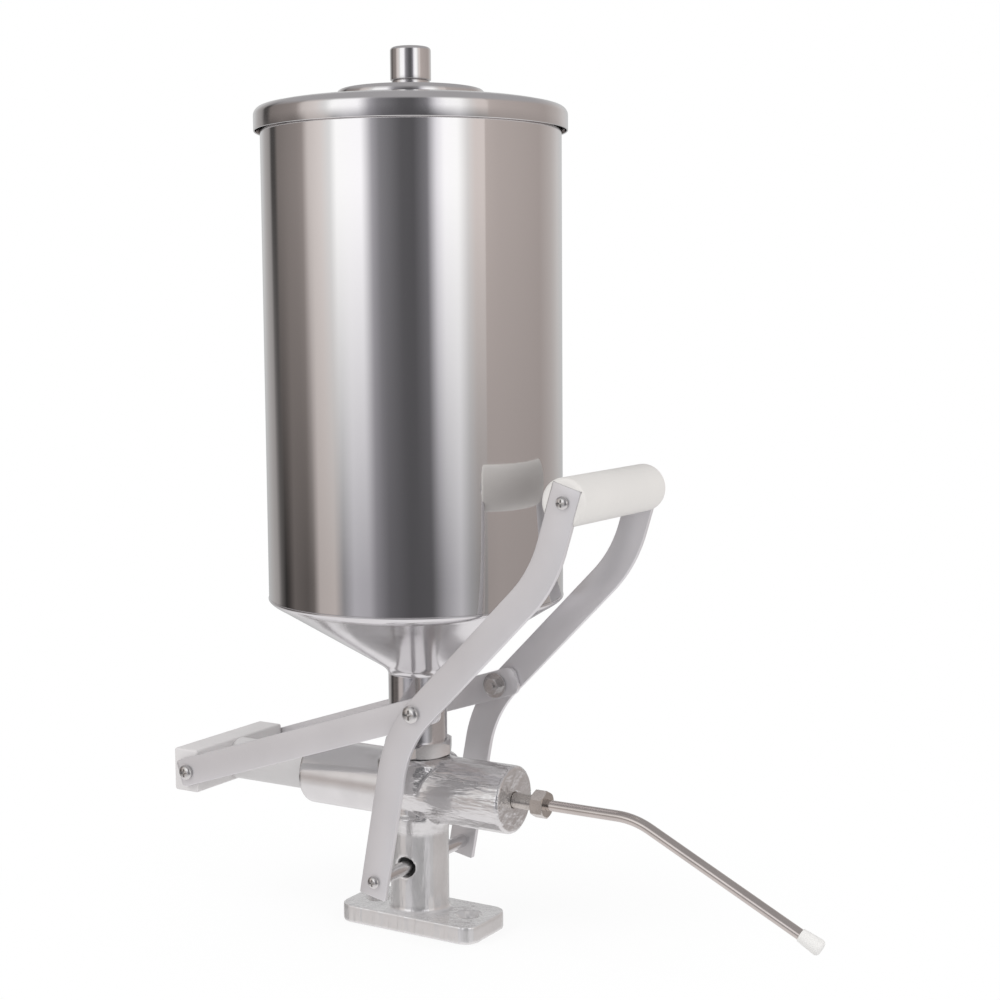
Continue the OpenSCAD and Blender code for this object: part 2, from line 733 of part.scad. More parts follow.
module plunger_rings() {
    length = -plunger_front - head_front;
    color(black_rubber) translate([head_front, 0, axis_z]) along_x() for (back = ring_at)
        round_ring(plunger_r + 0.03 - ring_d / 2, ring_d / 2 - 0.02, length - back);
}

plunger_washer_t = 1.2;
module plunger_washer() {
    color(steel) translate([head_back - plunger_washer_t, 0, axis_z]) along_x() difference() {
        cylinder(d = 2.2 * plunger_screw_d, h = plunger_washer_t);
        translate([0, 0, -cut])
            cylinder(r = plunger_screw_d / 2 + fixed_gap, h = plunger_washer_t + 2 * cut);
    }
}

module plunger_screw() {
    color(steel) translate([head_back - plunger_washer_t, 0, axis_z]) rotate([0, -90, 0])
        pan_screw(plunger_screw_d, plunger_washer_t + head_l + 12, 1.8 * plunger_screw_d, 0.6 * plunger_screw_d);
}

module crosshead_pins() {
    head_y = link_out + side_gap;
    color(steel) for (side = sides) outward(side, head_pin, head_y)
        pan_screw(head_pin_d, head_y - head_w / 2 + screw_reach, head_pin_head_d, 0.3 * head_pin_head_d);
}

module link_outline() {
    half = link_w / 2;
    front = link_l + link_nose;
    translate(head_pin) rotate(link_angle) {
        hull() for (s = sides) translate([2 - link_tail, s * (half - 2)]) circle(2);
        translate([2 - link_tail, -half]) square([front + link_tail - 2 - link_round, link_w]);
        translate([front - link_round - 0.01, -half + link_round])
            square([link_round + 0.01, link_w - 2 * link_round]);
        for (s = sides) translate([front - link_round, s * (half - link_round)]) circle(link_round);
    }
}

module link(side) {
    color(bar_metal) difference() {
        plate_y(side > 0 ? link_in : -link_out, side > 0 ? link_out : -link_in) link_outline();
        bar_y(head_pin, head_pin_d / 2 + run_gap, -far, far);
        bar_y(crank_pin, crank_hole_r, -far, far);
    }
}

module link_near() { link(-1); }
module link_far() { link(1); }

// ---------- outlet and nozzle ----------

module outlet_nipple() {
    length = nipple_end - barrel_front + nipple_root;
    color(steel) translate([barrel_front - nipple_root, 0, axis_z]) along_x() difference() {
        turned([[0, 0], [nipple_d / 2, 0], [nipple_d / 2, length - 0.5], [nipple_d / 2 - 0.5, length],
                [0, length]]);
        translate([0, 0, -cut]) cylinder(d = nipple_bore_d, h = length + 2 * cut);
    }
}

module gland_nut() {
    nest = gland_nest;
    color(brass) translate([gland_x, 0, axis_z]) along_x() difference() {
        hex_blank(gland_af, gland_l);
        translate([0, 0, -cut]) cylinder(r = nipple_d / 2 + fixed_gap, h = nest + cut);
        translate([0, 0, nest - 0.01]) cylinder(r = ferrule_r + side_gap, h = gland_l - gland_lip - nest + 0.01);
        cylinder(r = tube_r + run_gap, h = far);
    }
}

ferrule_r = nipple_d / 2 + 0.3;
module nozzle_ferrule() {
    start = tube_start + 0.2;
    length = gland_end - gland_lip - side_gap - start;
    bore_r = tube_r + 0.02;
    color(brass) translate([start, 0, axis_z]) along_x() difference() {
        turned([[0, 0], [bore_r + 0.3, 0], [ferrule_r, length * 0.35], [ferrule_r, length * 0.65],
                [bore_r + 0.3, length], [0, length]]);
        translate([0, 0, -cut]) cylinder(r = bore_r, h = length + 2 * cut);
    }
}

// A length of tube along +X
module straight_tube(length) {
    along_x() difference() {
        cylinder(r = tube_r, h = length);
        translate([0, 0, -cut]) cylinder(r = tube_in_r, h = length + 2 * cut);
    }
}

// The bend's wall is a hair thicker than the straight stretches, which run a little way into it
bend_more = 0.02;
bend_lap = 0.3;
module nozzle_tube() {
    color(steel) {
        translate([tube_start, 0, axis_z]) straight_tube(bend_x - bend_tangent - tube_start + bend_lap);
        translate([bend_x, 0, axis_z]) rotate([0, bend_angle, 0]) translate([bend_tangent - bend_lap, 0, 0])
            straight_tube(tube_l - bend_tangent + bend_lap);
        translate([bend_x - bend_tangent, 0, axis_z - tube_bend_r]) rotate([90, 0, 0])
            rotate([0, 0, 90 - bend_angle]) rotate_extrude(angle = bend_angle)
                translate([tube_bend_r, 0]) difference() {
                    circle(tube_r + bend_more);
                    circle(tube_in_r - bend_more);
                }
    }
}

module nozzle_tip() {
    color(white_plastic) translate([bend_x, 0, axis_z]) rotate([0, bend_angle, 0])
        translate([tube_l - tip_cover, 0, 0]) along_x() difference() {
            turned(concat([[0, 0], [tip_d / 2 - 0.4, 0], [tip_d / 2, 0.4], [tip_end_d / 2, tip_l - 2.5]],
                          bow([tip_end_d / 2, tip_l - 2.5], [tip_end_d / 2, tip_l],
                              [tip_end_d / 2 - 2.2, tip_l], 5),
                          [[0, tip_l]]));
            translate([0, 0, -cut]) cylinder(r = tube_r + run_gap, h = tip_bore_l + cut);
        }
}

pump_body();
cylinder_liner();
rod_wiper();
pivot_bush();
throat_seal();
throat_lock_nut();
funnel();
tank_seal();
tank();
outlet_nipple();
gland_nut();
lid();
lid_knob_collar();
lid_knob();
lid_knob_screw();
lid_knob_washer();
lever_arm_near();
lever_arm_far();
grip();
grip_screws();
pivot_axle();
axle_screws();
link_bolts();
link_bolt_washers();
link_bolt_nuts();
crosshead();
plunger();
plunger_rings();
plunger_screw();
plunger_washer();
crosshead_pins();
link_near();
link_far();
nozzle_tube();
nozzle_ferrule();
nozzle_tip();
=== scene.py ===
import math

import bmesh
import bpy
import numpy as np
from mathutils import Matrix, Vector


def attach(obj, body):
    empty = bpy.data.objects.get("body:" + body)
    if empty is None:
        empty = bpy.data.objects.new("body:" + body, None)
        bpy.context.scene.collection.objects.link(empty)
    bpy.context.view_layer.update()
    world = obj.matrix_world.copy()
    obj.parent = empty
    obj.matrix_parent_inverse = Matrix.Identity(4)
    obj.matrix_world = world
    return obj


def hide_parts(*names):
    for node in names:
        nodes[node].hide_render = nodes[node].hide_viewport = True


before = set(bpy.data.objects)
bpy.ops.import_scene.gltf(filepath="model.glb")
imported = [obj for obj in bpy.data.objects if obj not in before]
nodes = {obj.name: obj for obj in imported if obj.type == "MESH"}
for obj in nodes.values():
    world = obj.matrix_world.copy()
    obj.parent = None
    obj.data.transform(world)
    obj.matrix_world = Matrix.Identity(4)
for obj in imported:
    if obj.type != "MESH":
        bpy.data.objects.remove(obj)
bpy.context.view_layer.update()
scene = bpy.context.scene
MM = 0.001

# ---------------------------------------------------------------- camera
# The place, turn and lens that were fitted to the photographed outlines. The camera looks at a
# point on the tank's axis from in front and to the right, a little above.
AZIMUTH, ELEVATION, ROLL = (math.radians(a) for a in (31.08, 6.05, -0.38))
toward = Vector((math.sin(AZIMUTH) * math.cos(ELEVATION), -math.cos(AZIMUTH) * math.cos(ELEVATION),
                 math.sin(ELEVATION)))
level_right = (-toward).cross(Vector((0, 0, 1))).normalized()
level_up = level_right.cross(-toward)
cam_right = level_right * math.cos(ROLL) + level_up * math.sin(ROLL)
cam_up = level_up * math.cos(ROLL) - level_right * math.sin(ROLL)
cam_data = bpy.data.cameras.new("camera")
cam_data.lens = 64.83
cam_data.sensor_width = 36.0
cam_data.clip_start = 0.01
camera = bpy.data.objects.new("camera", cam_data)
scene.collection.objects.link(camera)
camera.matrix_world = Matrix.Translation(
    Vector((0, 0, 0.3)) + toward * 1.03499 + level_right * 0.04878 - level_up * 0.04866
) @ Matrix((cam_right, cam_up, toward)).transposed().to_4x4()
scene.camera = camera
scene.view_settings.view_transform = "Standard"

# ---------------------------------------------------------------- surroundings
# A bright room of soft upright panels with dim gaps between them, which the polished metal
# reflects. The camera itself sees plain white. Each panel is (compass angle in degrees, brightness,
# warmth), and the room fades from one to the next. Below eye level the panels are dimmer.
ROOM_HIGH = [(0, .48, 1), (12, .44, 1), (56, .38, 1), (74, .48, .7), (90, .62, .3),
             (104, .62, 0), (146, .62, 0), (158, .42, .3), (168, .30, .4), (172, .07, .5),
             (178, .07, .5), (183, .19, 1), (208, .26, 1), (214, .30, 1), (220, .62, .7),
             (232, .74, .6), (240, .84, 0), (246, 1.20, 0), (266, 1.18, -.3), (274, .42, -.8),
             (280, .24, -.8), (296, .11, -.8), (305, .10, -.8), (315, .22, -.9), (322, .90, -.6),
             (328, 1.18, -.2), (338, 1.18, 0), (346, .78, .2), (352, .68, .8)]
ROOM_LOW = [(0, .32, .9), (12, .34, .9), (56, .32, .9), (74, .40, .6), (90, .48, .3),
            (104, .50, 0), (146, .50, 0), (158, .44, .3), (170, .34, .4), (176, .14, .5),
            (184, .03, .5), (189, .05, 1), (197, .13, 1), (212, .10, 1), (219, .14, 1),
            (225, .46, .8), (239, .50, .8), (247, .28, -.5), (256, .48, -.8), (268, .44, -.8),
            (274, .26, -1), (284, .14, -1), (300, .09, -.8), (316, .10, -.8), (326, .34, -.7),
            (338, .54, -.6), (346, .36, -.3), (353, .28, .3)]
world = bpy.data.worlds.new("room")
scene.world = world
world.use_nodes = True
wt = world.node_tree
wt.nodes.clear()


def wnode(kind, **values):
    """A node of the room's tree, with its settings."""
    n = wt.nodes.new(kind)
    for key, value in values.items():
        setattr(n, key, value)
    return n


direction = wnode("ShaderNodeTexCoord").outputs["Generated"]
parts = wnode("ShaderNodeSeparateXYZ")
wt.links.new(direction, parts.inputs[0])
turn = wnode("ShaderNodeMath", operation="ARCTAN2")
wt.links.new(parts.outputs["Y"], turn.inputs[0])
wt.links.new(parts.outputs["X"], turn.inputs[1])
share = wnode("ShaderNodeMath", operation="DIVIDE")
wt.links.new(turn.outputs[0], share.inputs[0])
share.inputs[1].default_value = 2 * math.pi
whole = wnode("ShaderNodeMath", operation="FRACT")
plus = wnode("ShaderNodeMath", operation="ADD")
wt.links.new(share.outputs[0], plus.inputs[0])
plus.inputs[1].default_value = 1.0
wt.links.new(plus.outputs[0], whole.inputs[0])


def room_ramp(panels):
    """The panels as a ramp over the full circle. Warmth turns the colour to brown where it is above
    0, and to lavender where it is below."""
    ramp = wnode("ShaderNodeValToRGB")
    wt.links.new(whole.outputs[0], ramp.inputs[0])
    steps = ramp.color_ramp.elements
    while len(steps) > 1:
        steps.remove(steps[-1])
    for i, (angle, light, warm) in enumerate(panels):
        step = steps[0] if i == 0 else steps.new(angle / 360)
        step.position = angle / 360
        brown, cool = max(warm, 0), max(-warm, 0)
        red, blue = 1 + .13 * brown + .03 * cool, 1 - .05 * brown + .08 * cool
        step.color = (light * red, light, light * blue, 1)
    return ramp.outputs["Color"]


high, low = room_ramp(ROOM_HIGH), room_ramp(ROOM_LOW)


def over_height(lo, hi):
    """0 below the direction height lo, 1 above hi, even between."""
    n = wnode("ShaderNodeMapRange")
    wt.links.new(parts.outputs["Z"], n.inputs["Value"])
    n.inputs["From Min"].default_value = lo
    n.inputs["From Max"].default_value = hi
    return n.outputs["Result"]


def blend_colors(factor, a, b):
    """a where the factor is 0, b where it is 1; either may be a plain colour."""
    n = wnode("ShaderNodeMix", data_type="RGBA")
    wt.links.new(factor, n.inputs["Factor"])
    for socket, value in ((n.inputs[6], a), (n.inputs[7], b)):
        if isinstance(value, tuple):
            socket.default_value = value
        else:
            wt.links.new(value, socket)
    return n.outputs[2]


walls = blend_colors(over_height(-.15, .07), low, high)
ceiling = blend_colors(over_height(.28, .62), walls, (.42, .41, .42, 1))
room = blend_colors(over_height(-.62, -.26), (.88, .86, .87, 1), ceiling)
seen = wnode("ShaderNodeLightPath")
to_camera = wnode("ShaderNodeBackground")
to_camera.inputs["Color"].default_value = (1, 1, 1, 1)
to_metal = wnode("ShaderNodeBackground")
wt.links.new(room, to_metal.inputs["Color"])
to_cloth = wnode("ShaderNodeBackground")
to_cloth.inputs["Color"].default_value = (.80, .80, .80, 1)
glossy = wnode("ShaderNodeMixShader")
wt.links.new(seen.outputs["Is Glossy Ray"], glossy.inputs[0])
wt.links.new(to_cloth.outputs[0], glossy.inputs[1])
wt.links.new(to_metal.outputs[0], glossy.inputs[2])
sky = wnode("ShaderNodeMixShader")
wt.links.new(seen.outputs["Is Camera Ray"], sky.inputs[0])
wt.links.new(glossy.outputs[0], sky.inputs[1])
wt.links.new(to_camera.outputs[0], sky.inputs[2])
wt.links.new(sky.outputs[0], wnode("ShaderNodeOutputWorld").inputs[0])

# ---------------------------------------------------------------- floor
# A pale floor whose light falls off to the white of the room. It takes a faint shadow near the
# foot only, and metal reflects the room's own lower half instead of it.
floor_mesh = bpy.data.meshes.new("floor")
floor_mesh.from_pydata([(-6, -6, -.0004), (6, -6, -.0004), (6, 6, -.0004), (-6, 6, -.0004)], [],
                       [(0, 1, 2, 3)])
floor = bpy.data.objects.new("floor", floor_mesh)
scene.collection.objects.link(floor)
floor.visible_glossy = False
pale = bpy.data.materials.new("pale_floor")
pale.use_nodes = True
pt = pale.node_tree
pt.nodes.clear()
place = pt.nodes.new("ShaderNodeTexCoord")
reach = pt.nodes.new("ShaderNodeVectorMath")
reach.operation = "LENGTH"
pt.links.new(place.outputs["Object"], reach.inputs[0])
near = pt.nodes.new("ShaderNodeMapRange")
near.interpolation_type = "SMOOTHSTEP"
near.inputs["From Min"].default_value = 0.04
near.inputs["From Max"].default_value = 0.30
near.inputs["To Min"].default_value = 0.14
near.inputs["To Max"].default_value = 0.0
pt.links.new(reach.outputs["Value"], near.inputs["Value"])
bright = pt.nodes.new("ShaderNodeEmission")
bright.inputs["Color"].default_value = (1, 1, 1, 1)
cloth = pt.nodes.new("ShaderNodeBsdfDiffuse")
cloth.inputs["Color"].default_value = (.9, .9, .9, 1)
floor_mix = pt.nodes.new("ShaderNodeMixShader")
pt.links.new(near.outputs["Result"], floor_mix.inputs[0])
pt.links.new(bright.outputs[0], floor_mix.inputs[1])
pt.links.new(cloth.outputs[0], floor_mix.inputs[2])
pt.links.new(floor_mix.outputs[0], pt.nodes.new("ShaderNodeOutputMaterial").inputs[0])
floor.data.materials.append(pale)

# ---------------------------------------------------------------- lamps
# Two wide soft lamps, one high on the camera's left and one behind it on the right. They shade
# the plastics and the floor, and metal shows the room's panels instead of them.
for name, spot, aim, size, watts in (("lamp_left", (-1.1, -1.5, 1.7), (0, 0, .25), 1.4, 21),
                                     ("lamp_right", (1.9, -0.5, 1.2), (0, 0, .2), 1.2, 16)):
    lamp = bpy.data.lights.new(name, "AREA")
    lamp.shape = "SQUARE"
    lamp.size = size
    lamp.energy = watts
    lamp_object = bpy.data.objects.new(name, lamp)
    scene.collection.objects.link(lamp_object)
    lamp_object.location = spot
    lamp_object.rotation_euler = (Vector(aim) - Vector(spot)).to_track_quat("-Z", "Y").to_euler()
    lamp_object.visible_glossy = False

# ---------------------------------------------------------------- finishes
# Metals and plastics are all made the same way: a fine noise, drawn out along the grain, moves the
# roughness and lifts the surface, a broad one shades the colour, and the edges are worn softly.


def finish(name, color, metallic, rough, grain, lift_mm, tint=.06, spots=25.0, edge_mm=.35, sheen=None):
    """A procedural finish. grain is the noise's density along X, Y and Z, per metre; rough is the
    roughness in its hollows and on its ridges; lift_mm is the height of the grain; tint is how far
    the broad noise darkens the colour; edge_mm is the radius to which the edges look rounded."""
    m = bpy.data.materials.new(name)
    m.use_nodes = True
    t = m.node_tree
    shader = t.nodes["Principled BSDF"]
    shader.inputs["Metallic"].default_value = metallic
    where = t.nodes.new("ShaderNodeTexCoord").outputs["Object"]
    stretch = t.nodes.new("ShaderNodeMapping")
    stretch.inputs["Scale"].default_value = grain
    t.links.new(where, stretch.inputs["Vector"])
    fine = t.nodes.new("ShaderNodeTexNoise")
    fine.inputs["Scale"].default_value = 1.0
    fine.inputs["Detail"].default_value = 5.0
    t.links.new(stretch.outputs[0], fine.inputs["Vector"])
    to_rough = t.nodes.new("ShaderNodeMapRange")
    to_rough.inputs["From Min"].default_value = .3
    to_rough.inputs["From Max"].default_value = .7
    to_rough.inputs["To Min"].default_value = rough[0]
    to_rough.inputs["To Max"].default_value = rough[1]
    t.links.new(fine.outputs["Fac"], to_rough.inputs["Value"])
    t.links.new(to_rough.outputs["Result"], shader.inputs["Roughness"])
    broad = t.nodes.new("ShaderNodeTexNoise")
    broad.inputs["Scale"].default_value = spots
    broad.inputs["Detail"].default_value = 3.0
    t.links.new(where, broad.inputs["Vector"])
    shade = t.nodes.new("ShaderNodeMapRange")
    shade.inputs["From Min"].default_value = .35
    shade.inputs["From Max"].default_value = .65
    t.links.new(broad.outputs["Fac"], shade.inputs["Value"])
    mix = t.nodes.new("ShaderNodeMix")
    mix.data_type = "RGBA"
    t.links.new(shade.outputs["Result"], mix.inputs["Factor"])
    mix.inputs[6].default_value = (*[c * (1 - tint) for c in color], 1)
    mix.inputs[7].default_value = (*color, 1)
    t.links.new(mix.outputs[2], shader.inputs["Base Color"])
    soft = t.nodes.new("ShaderNodeBevel")
    soft.samples = 4
    soft.inputs["Radius"].default_value = edge_mm * MM
    bump = t.nodes.new("ShaderNodeBump")
    bump.inputs["Distance"].default_value = lift_mm * MM
    t.links.new(fine.outputs["Fac"], bump.inputs["Height"])
    if edge_mm > 0:
        t.links.new(soft.outputs[0], bump.inputs["Normal"])
    t.links.new(bump.outputs[0], shader.inputs["Normal"])
    return m


STEEL = finish("turned_steel", (.76, .75, .75), 1, (.16, .24), (900, 900, 900), .0012)
SCREW = finish("bright_screws", (.74, .73, .72), 1, (.14, .24), (700, 700, 700), .0012, edge_mm=.25)
SPUN = finish("spun_steel", (.80, .79, .80), 1, (.11, .17), (120, 120, 1500), .0015, tint=.05)
NICKEL = finish("worn_nickel", (.68, .64, .60), 1, (.16, .28), (600, 600, 600), .002, tint=.14,
                spots=160)
BRASS = finish("bare_brass", (.55, .40, .20), 1, (.25, .40), (600, 600, 600), .003, tint=.12)
# The pivot bush is near black: its colour is painted shade, standing for the shadow inside the oversized
# axle hole round the axle.
BUSH_SHADE = finish("bush_black_painted_shade", (.018, .018, .018), 0, (.40, .55), (500, 500, 500), .006)
RUBBER = finish("seal_rubber", (.02, .02, .02), 0, (.55, .75), (500, 500, 500), .01)
NYLON = finish("turned_nylon", (.66, .64, .62), 0, (.42, .58), (260, 1400, 260), .006, tint=.04,
               edge_mm=.8)
for name, material in (("cylinder_liner", STEEL), ("throat_lock_nut", STEEL), ("lid_knob_collar", STEEL),
                       ("pivot_axle", STEEL), ("lid_knob_screw", SCREW), ("lid_knob_washer", SCREW),
                       ("grip_screws", SCREW), ("axle_screws", SCREW), ("link_bolts", SCREW),
                       ("link_bolt_washers", SCREW), ("link_bolt_nuts", SCREW), ("plunger_screw", SCREW),
                       ("plunger_washer", SCREW), ("crosshead_pins", SCREW), ("gland_nut", NICKEL),
                       ("pivot_bush", BUSH_SHADE), ("nozzle_ferrule", BRASS), ("throat_seal", RUBBER),
                       ("tank_seal", RUBBER), ("plunger_rings", RUBBER), ("rod_wiper", NYLON)):
    nodes[name].data.materials.clear()
    nodes[name].data.materials.append(material)

# ---------------------------------------------------------------- tank
# A drawn shell of thin polished sheet, open at both ends, with a rolled bead round its mouth. Its
# wall waves a very little, so that the upright reflections bend as they do in real sheet.


def piece(name, points, faces, material, body, stands_for=(), uv=None, crease=35):
    """Makes a mesh piece in millimetres: faces turned outward, smooth but for edges sharper than
    'crease' degrees, and hung on its body in the place of the CAD nodes that it stands for."""
    mesh = bpy.data.meshes.new(name)
    mesh.from_pydata((np.asarray(points, float) * MM).tolist(), [], [tuple(f) for f in faces])
    form = bmesh.new()
    form.from_mesh(mesh)
    bmesh.ops.recalc_face_normals(form, faces=form.faces)
    form.to_mesh(mesh)
    form.free()
    mesh.shade_smooth()
    mesh.set_sharp_from_angle(angle=math.radians(crease))
    mesh.materials.append(material)
    thing = bpy.data.objects.new(name, mesh)
    scene.collection.objects.link(thing)
    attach(thing, body)
    if stands_for:
        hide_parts(*stands_for)
    return thing


def walls(rings):
    """Quads between each ring of point numbers and the next. The rings are the rows of an array, and
    each closes on itself: column i joins column i + 1, and the last joins the first."""
    a, b = rings[:-1], rings[1:]
    return np.stack([a, np.roll(a, -1, 1), np.roll(b, -1, 1), b], -1).reshape(-1, 4)


def turned(profile, axis="Z", at=(0, 0, 0), steps=192):
    """Points and faces of a solid of revolution. The profile point (r, h) at the angle a goes to
    (r cos a, r sin a, h); a point on the axis becomes a pole, and a profile with none closes on
    itself. The axis is Z, or X or Y through the point 'at'."""
    r, h = np.array(profile, float).T[:, :, None]
    turns = np.arange(steps)
    angles = turns * 2 * math.pi / steps
    pole = r < 1e-6
    count = np.where(pole, 1, steps)
    rows = np.cumsum(count)[:, None] - count + np.where(pole, 0, turns)
    points = np.stack(np.broadcast_arrays(r * np.cos(angles), r * np.sin(angles), h), -1)
    points = points[~pole | (turns == 0)]
    quads = walls(rows if pole.any() else np.concatenate([rows, rows[:1]]))
    from_pole, to_pole = quads[:, 0] == quads[:, 1], quads[:, 2] == quads[:, 3]
    faces = (quads[~from_pole & ~to_pole].tolist() + quads[from_pole & ~to_pole, 1:].tolist()
             + quads[to_pole & ~from_pole, :3].tolist())
    order = {"X": [2, 0, 1], "Y": [1, 2, 0], "Z": [0, 1, 2]}[axis]
    return points[:, order] + np.array(at, float), faces


def arc(x, z, r, start, end, steps=10):
    """Points of an arc about (x, z), from one angle to another, in degrees."""
    return [(x + r * math.cos(math.radians(a)), z + r * math.sin(math.radians(a)))
            for a in np.linspace(start, end, steps + 1)]


def bow(a, b, c, steps=12):
    """Points of a curve that leaves a towards the corner b and arrives at c."""
    return [tuple((1 - t) ** 2 * np.array(a) + 2 * t * (1 - t) * np.array(b) + t * t * np.array(c))
            for t in np.linspace(0, 1, steps + 1)]


POLISHED = finish("mirror_sheet", (.82, .81, .81), 1, (.045, .075), (60, 60, 900), .0012, tint=.03,
                  spots=6, edge_mm=0)
TANK_R, TANK_WALL, TANK_FOOT, TANK_TOP, BEAD_R = 85.0, 0.8, 197.03, 471.61, 1.45
# The inner wall keeps the sheet's satin face: inside the sheet's middle radius it is rougher and
# scatters light, so the open tank isn't a black hole.
t = POLISHED.node_tree
flat = t.nodes.new("ShaderNodeVectorMath")
flat.operation = "MULTIPLY"
flat.inputs[1].default_value = (1, 1, 0)
t.links.new(t.nodes.new("ShaderNodeTexCoord").outputs["Object"], flat.inputs[0])
radius = t.nodes.new("ShaderNodeVectorMath")
radius.operation = "LENGTH"
t.links.new(flat.outputs[0], radius.inputs[0])
inside = t.nodes.new("ShaderNodeMath")
inside.operation = "LESS_THAN"
inside.inputs[1].default_value = (TANK_R - TANK_WALL / 2) * MM
t.links.new(radius.outputs["Value"], inside.inputs[0])
shader = t.nodes["Principled BSDF"]
polish = shader.inputs["Roughness"].links[0].from_socket
for name, satin, outer in (("Metallic", .30, None), ("Roughness", .42, polish)):
    face = t.nodes.new("ShaderNodeMix")
    t.links.new(inside.outputs[0], face.inputs["Factor"])
    face.inputs[3].default_value = satin
    if outer:
        t.links.new(outer, face.inputs[2])
    else:
        face.inputs[2].default_value = 1.0
    t.links.new(face.outputs[0], shader.inputs[name])
bead_z = TANK_TOP - BEAD_R
bead_mid = TANK_R - TANK_WALL + BEAD_R
profile = ([(TANK_R - TANK_WALL, TANK_FOOT + .2), (TANK_R - TANK_WALL + .2, TANK_FOOT),
            (TANK_R - .2, TANK_FOOT), (TANK_R, TANK_FOOT + .2)]
           + [(TANK_R, z) for z in np.linspace(TANK_FOOT + 6, bead_z - 5, 14)]
           + arc(bead_mid, bead_z, BEAD_R, -120, 180, 20)
           + [(TANK_R - TANK_WALL, z) for z in np.linspace(bead_z - 5, TANK_FOOT + 6, 6)])
points, faces = turned(profile, steps=256)
piece("tank_shell", points, faces, POLISHED, "pump", ["tank"])

# ---------------------------------------------------------------- lid
# One spun sheet: skirt with a curled lower edge, round shoulder, low dome and a raised disc.
LID_R, LID_WALL, LID_FOOT, LAND, DOME, DISC_Z = 88.6, 0.8, 460.38, 473.68, 478.38, 483.48
DISC_R, DISC_ROUND, SHOULDER_R, DOME_PULL = 42.0, 2.5, 4.8, 1.79


def lid_line(inset):
    """The lid's upper side from the skirt to the middle, or its under side, one inset further in."""
    r, disc_r, bend_r = LID_R - inset, DISC_R - inset, SHOULDER_R - inset
    land, dome, disc = LAND - inset, DOME - inset, DISC_Z - inset
    rim = r - bend_r
    return ([(r, LID_FOOT + .4)] + arc(rim, land - bend_r, bend_r, 0, 90, 12)
            + bow((rim - .5, land), (r * .905, land + DOME_PULL), (disc_r + 1.5, dome), 24)
            + bow((disc_r, dome + .4), (disc_r, disc), (disc_r - DISC_ROUND, disc), 10)
            + [(30, disc), (16, disc), (4, disc)])


lid_profile = (lid_line(0) + lid_line(LID_WALL)[::-1]
               + arc(LID_R - .4, LID_FOOT + .4, .4, 180, 360, 6)[1:-1])
points, faces = turned(lid_profile, steps=256)
LID_STEEL = finish("spun_mirror", (.80, .79, .79), 1, (.07, .13), (700, 700, 700), .0012, tint=.04,
                   spots=14, edge_mm=0)
piece("lid_sheet", points, faces, LID_STEEL, "lid_unit", ["lid"])

# ---------------------------------------------------------------- lid knob
# A plain turned knob with a softened top edge, on its collar.
KNOB_R, KNOB_FOOT, KNOB_TOP = 11.5, 488.98, 507.38
profile = ([(0, KNOB_FOOT), (KNOB_R - .6, KNOB_FOOT)] + arc(KNOB_R - .6, KNOB_FOOT + .6, .6, -90, 0, 5)
           + [(KNOB_R, z) for z in (KNOB_FOOT + 3, KNOB_TOP - 5)]
           + arc(KNOB_R - 2, KNOB_TOP - 2, 2, 0, 90, 12) + [(4, KNOB_TOP), (0, KNOB_TOP)])
points, faces = turned(profile, steps=128)
KNOB = finish("turned_knob", (.80, .79, .79), 1, (.07, .12), (40, 40, 1600), .002, tint=.05, edge_mm=0)
piece("turned_knob", points, faces, KNOB, "lid_unit", ["lid_knob"])

# ---------------------------------------------------------------- funnel
# Rim, cone and throat turned in one piece. The rim's lower edge rolls into the cone, and the cone
# runs out into the throat in a soft sweep.
SPIGOT_R, SPIGOT_BORE, SPIGOT_TOP = 84.15, 80.15, 205.01
RIM_R, RIM_TOP, RIM_Z = 85.3, 197.01, 190.71
THROAT_R, BORE_R, THROAT_Z, CONE_FOOT = 17.0, 13.5, 99.01, 150.01
TOE_R, CONE_DROP = 22.5, 34.2
EDGE_R = RIM_R - 7
slope = CONE_DROP / (EDGE_R - TOE_R)
toe = (TOE_R, RIM_Z - CONE_DROP)
inner_z = 195.36
profile = ([(SPIGOT_BORE, SPIGOT_TOP), (SPIGOT_R, SPIGOT_TOP), (SPIGOT_R, RIM_TOP),
            (RIM_R - .3, RIM_TOP), (RIM_R, RIM_TOP - .3)]
           + bow((RIM_R, RIM_Z + 5.6), (RIM_R, RIM_Z + 6.23 * slope), (EDGE_R, RIM_Z))
           + [(r, RIM_Z - (EDGE_R - r) * slope) for r in (70, 58, 46, 34)]
           + bow(toe, (THROAT_R, toe[1] - 5.5 * slope), (THROAT_R, CONE_FOOT), 16)
           + [(THROAT_R, z) for z in (140, 125, 112, 101)]
           + [(THROAT_R - .6, THROAT_Z), (BORE_R, THROAT_Z)]
           + [(BORE_R, z) for z in (120, 140)]
           + [(BORE_R, inner_z - (SPIGOT_BORE - BORE_R) * slope), (SPIGOT_BORE, inner_z)])
points, faces = turned(profile, steps=224)
piece("spun_funnel", points, faces, SPUN, "pump", ["funnel"])

# ---------------------------------------------------------------- pump casting
# The foundry form: foot, pillar, barrel and throat boss run into each other with small fillets and
# dulled edges. The solid is rebuilt as an even skin and eased, and its front half is buffed over a
# rough skin, so it mirrors in lumps, while the rear half was turned smooth.
body_mesh = nodes["pump_body"].data.copy()
casting = bpy.data.objects.new("cast_body", body_mesh)
scene.collection.objects.link(casting)
skin = casting.modifiers.new("even_skin", "REMESH")
skin.mode = "VOXEL"
skin.voxel_size = .8 * MM
ease = casting.modifiers.new("ease", "SMOOTH")
ease.factor = .5
ease.iterations = 8
bpy.context.view_layer.update()
eased = bpy.data.meshes.new_from_object(casting.evaluated_get(bpy.context.evaluated_depsgraph_get()))
casting.modifiers.clear()
casting.data = eased
eased.name = "cast_body"
eased.shade_smooth()
CAST = finish("buffed_casting", (.79, .78, .78), .92, (.15, .24), (160, 500, 500), .0015, tint=.06,
              spots=60, edge_mm=0)
t = CAST.node_tree
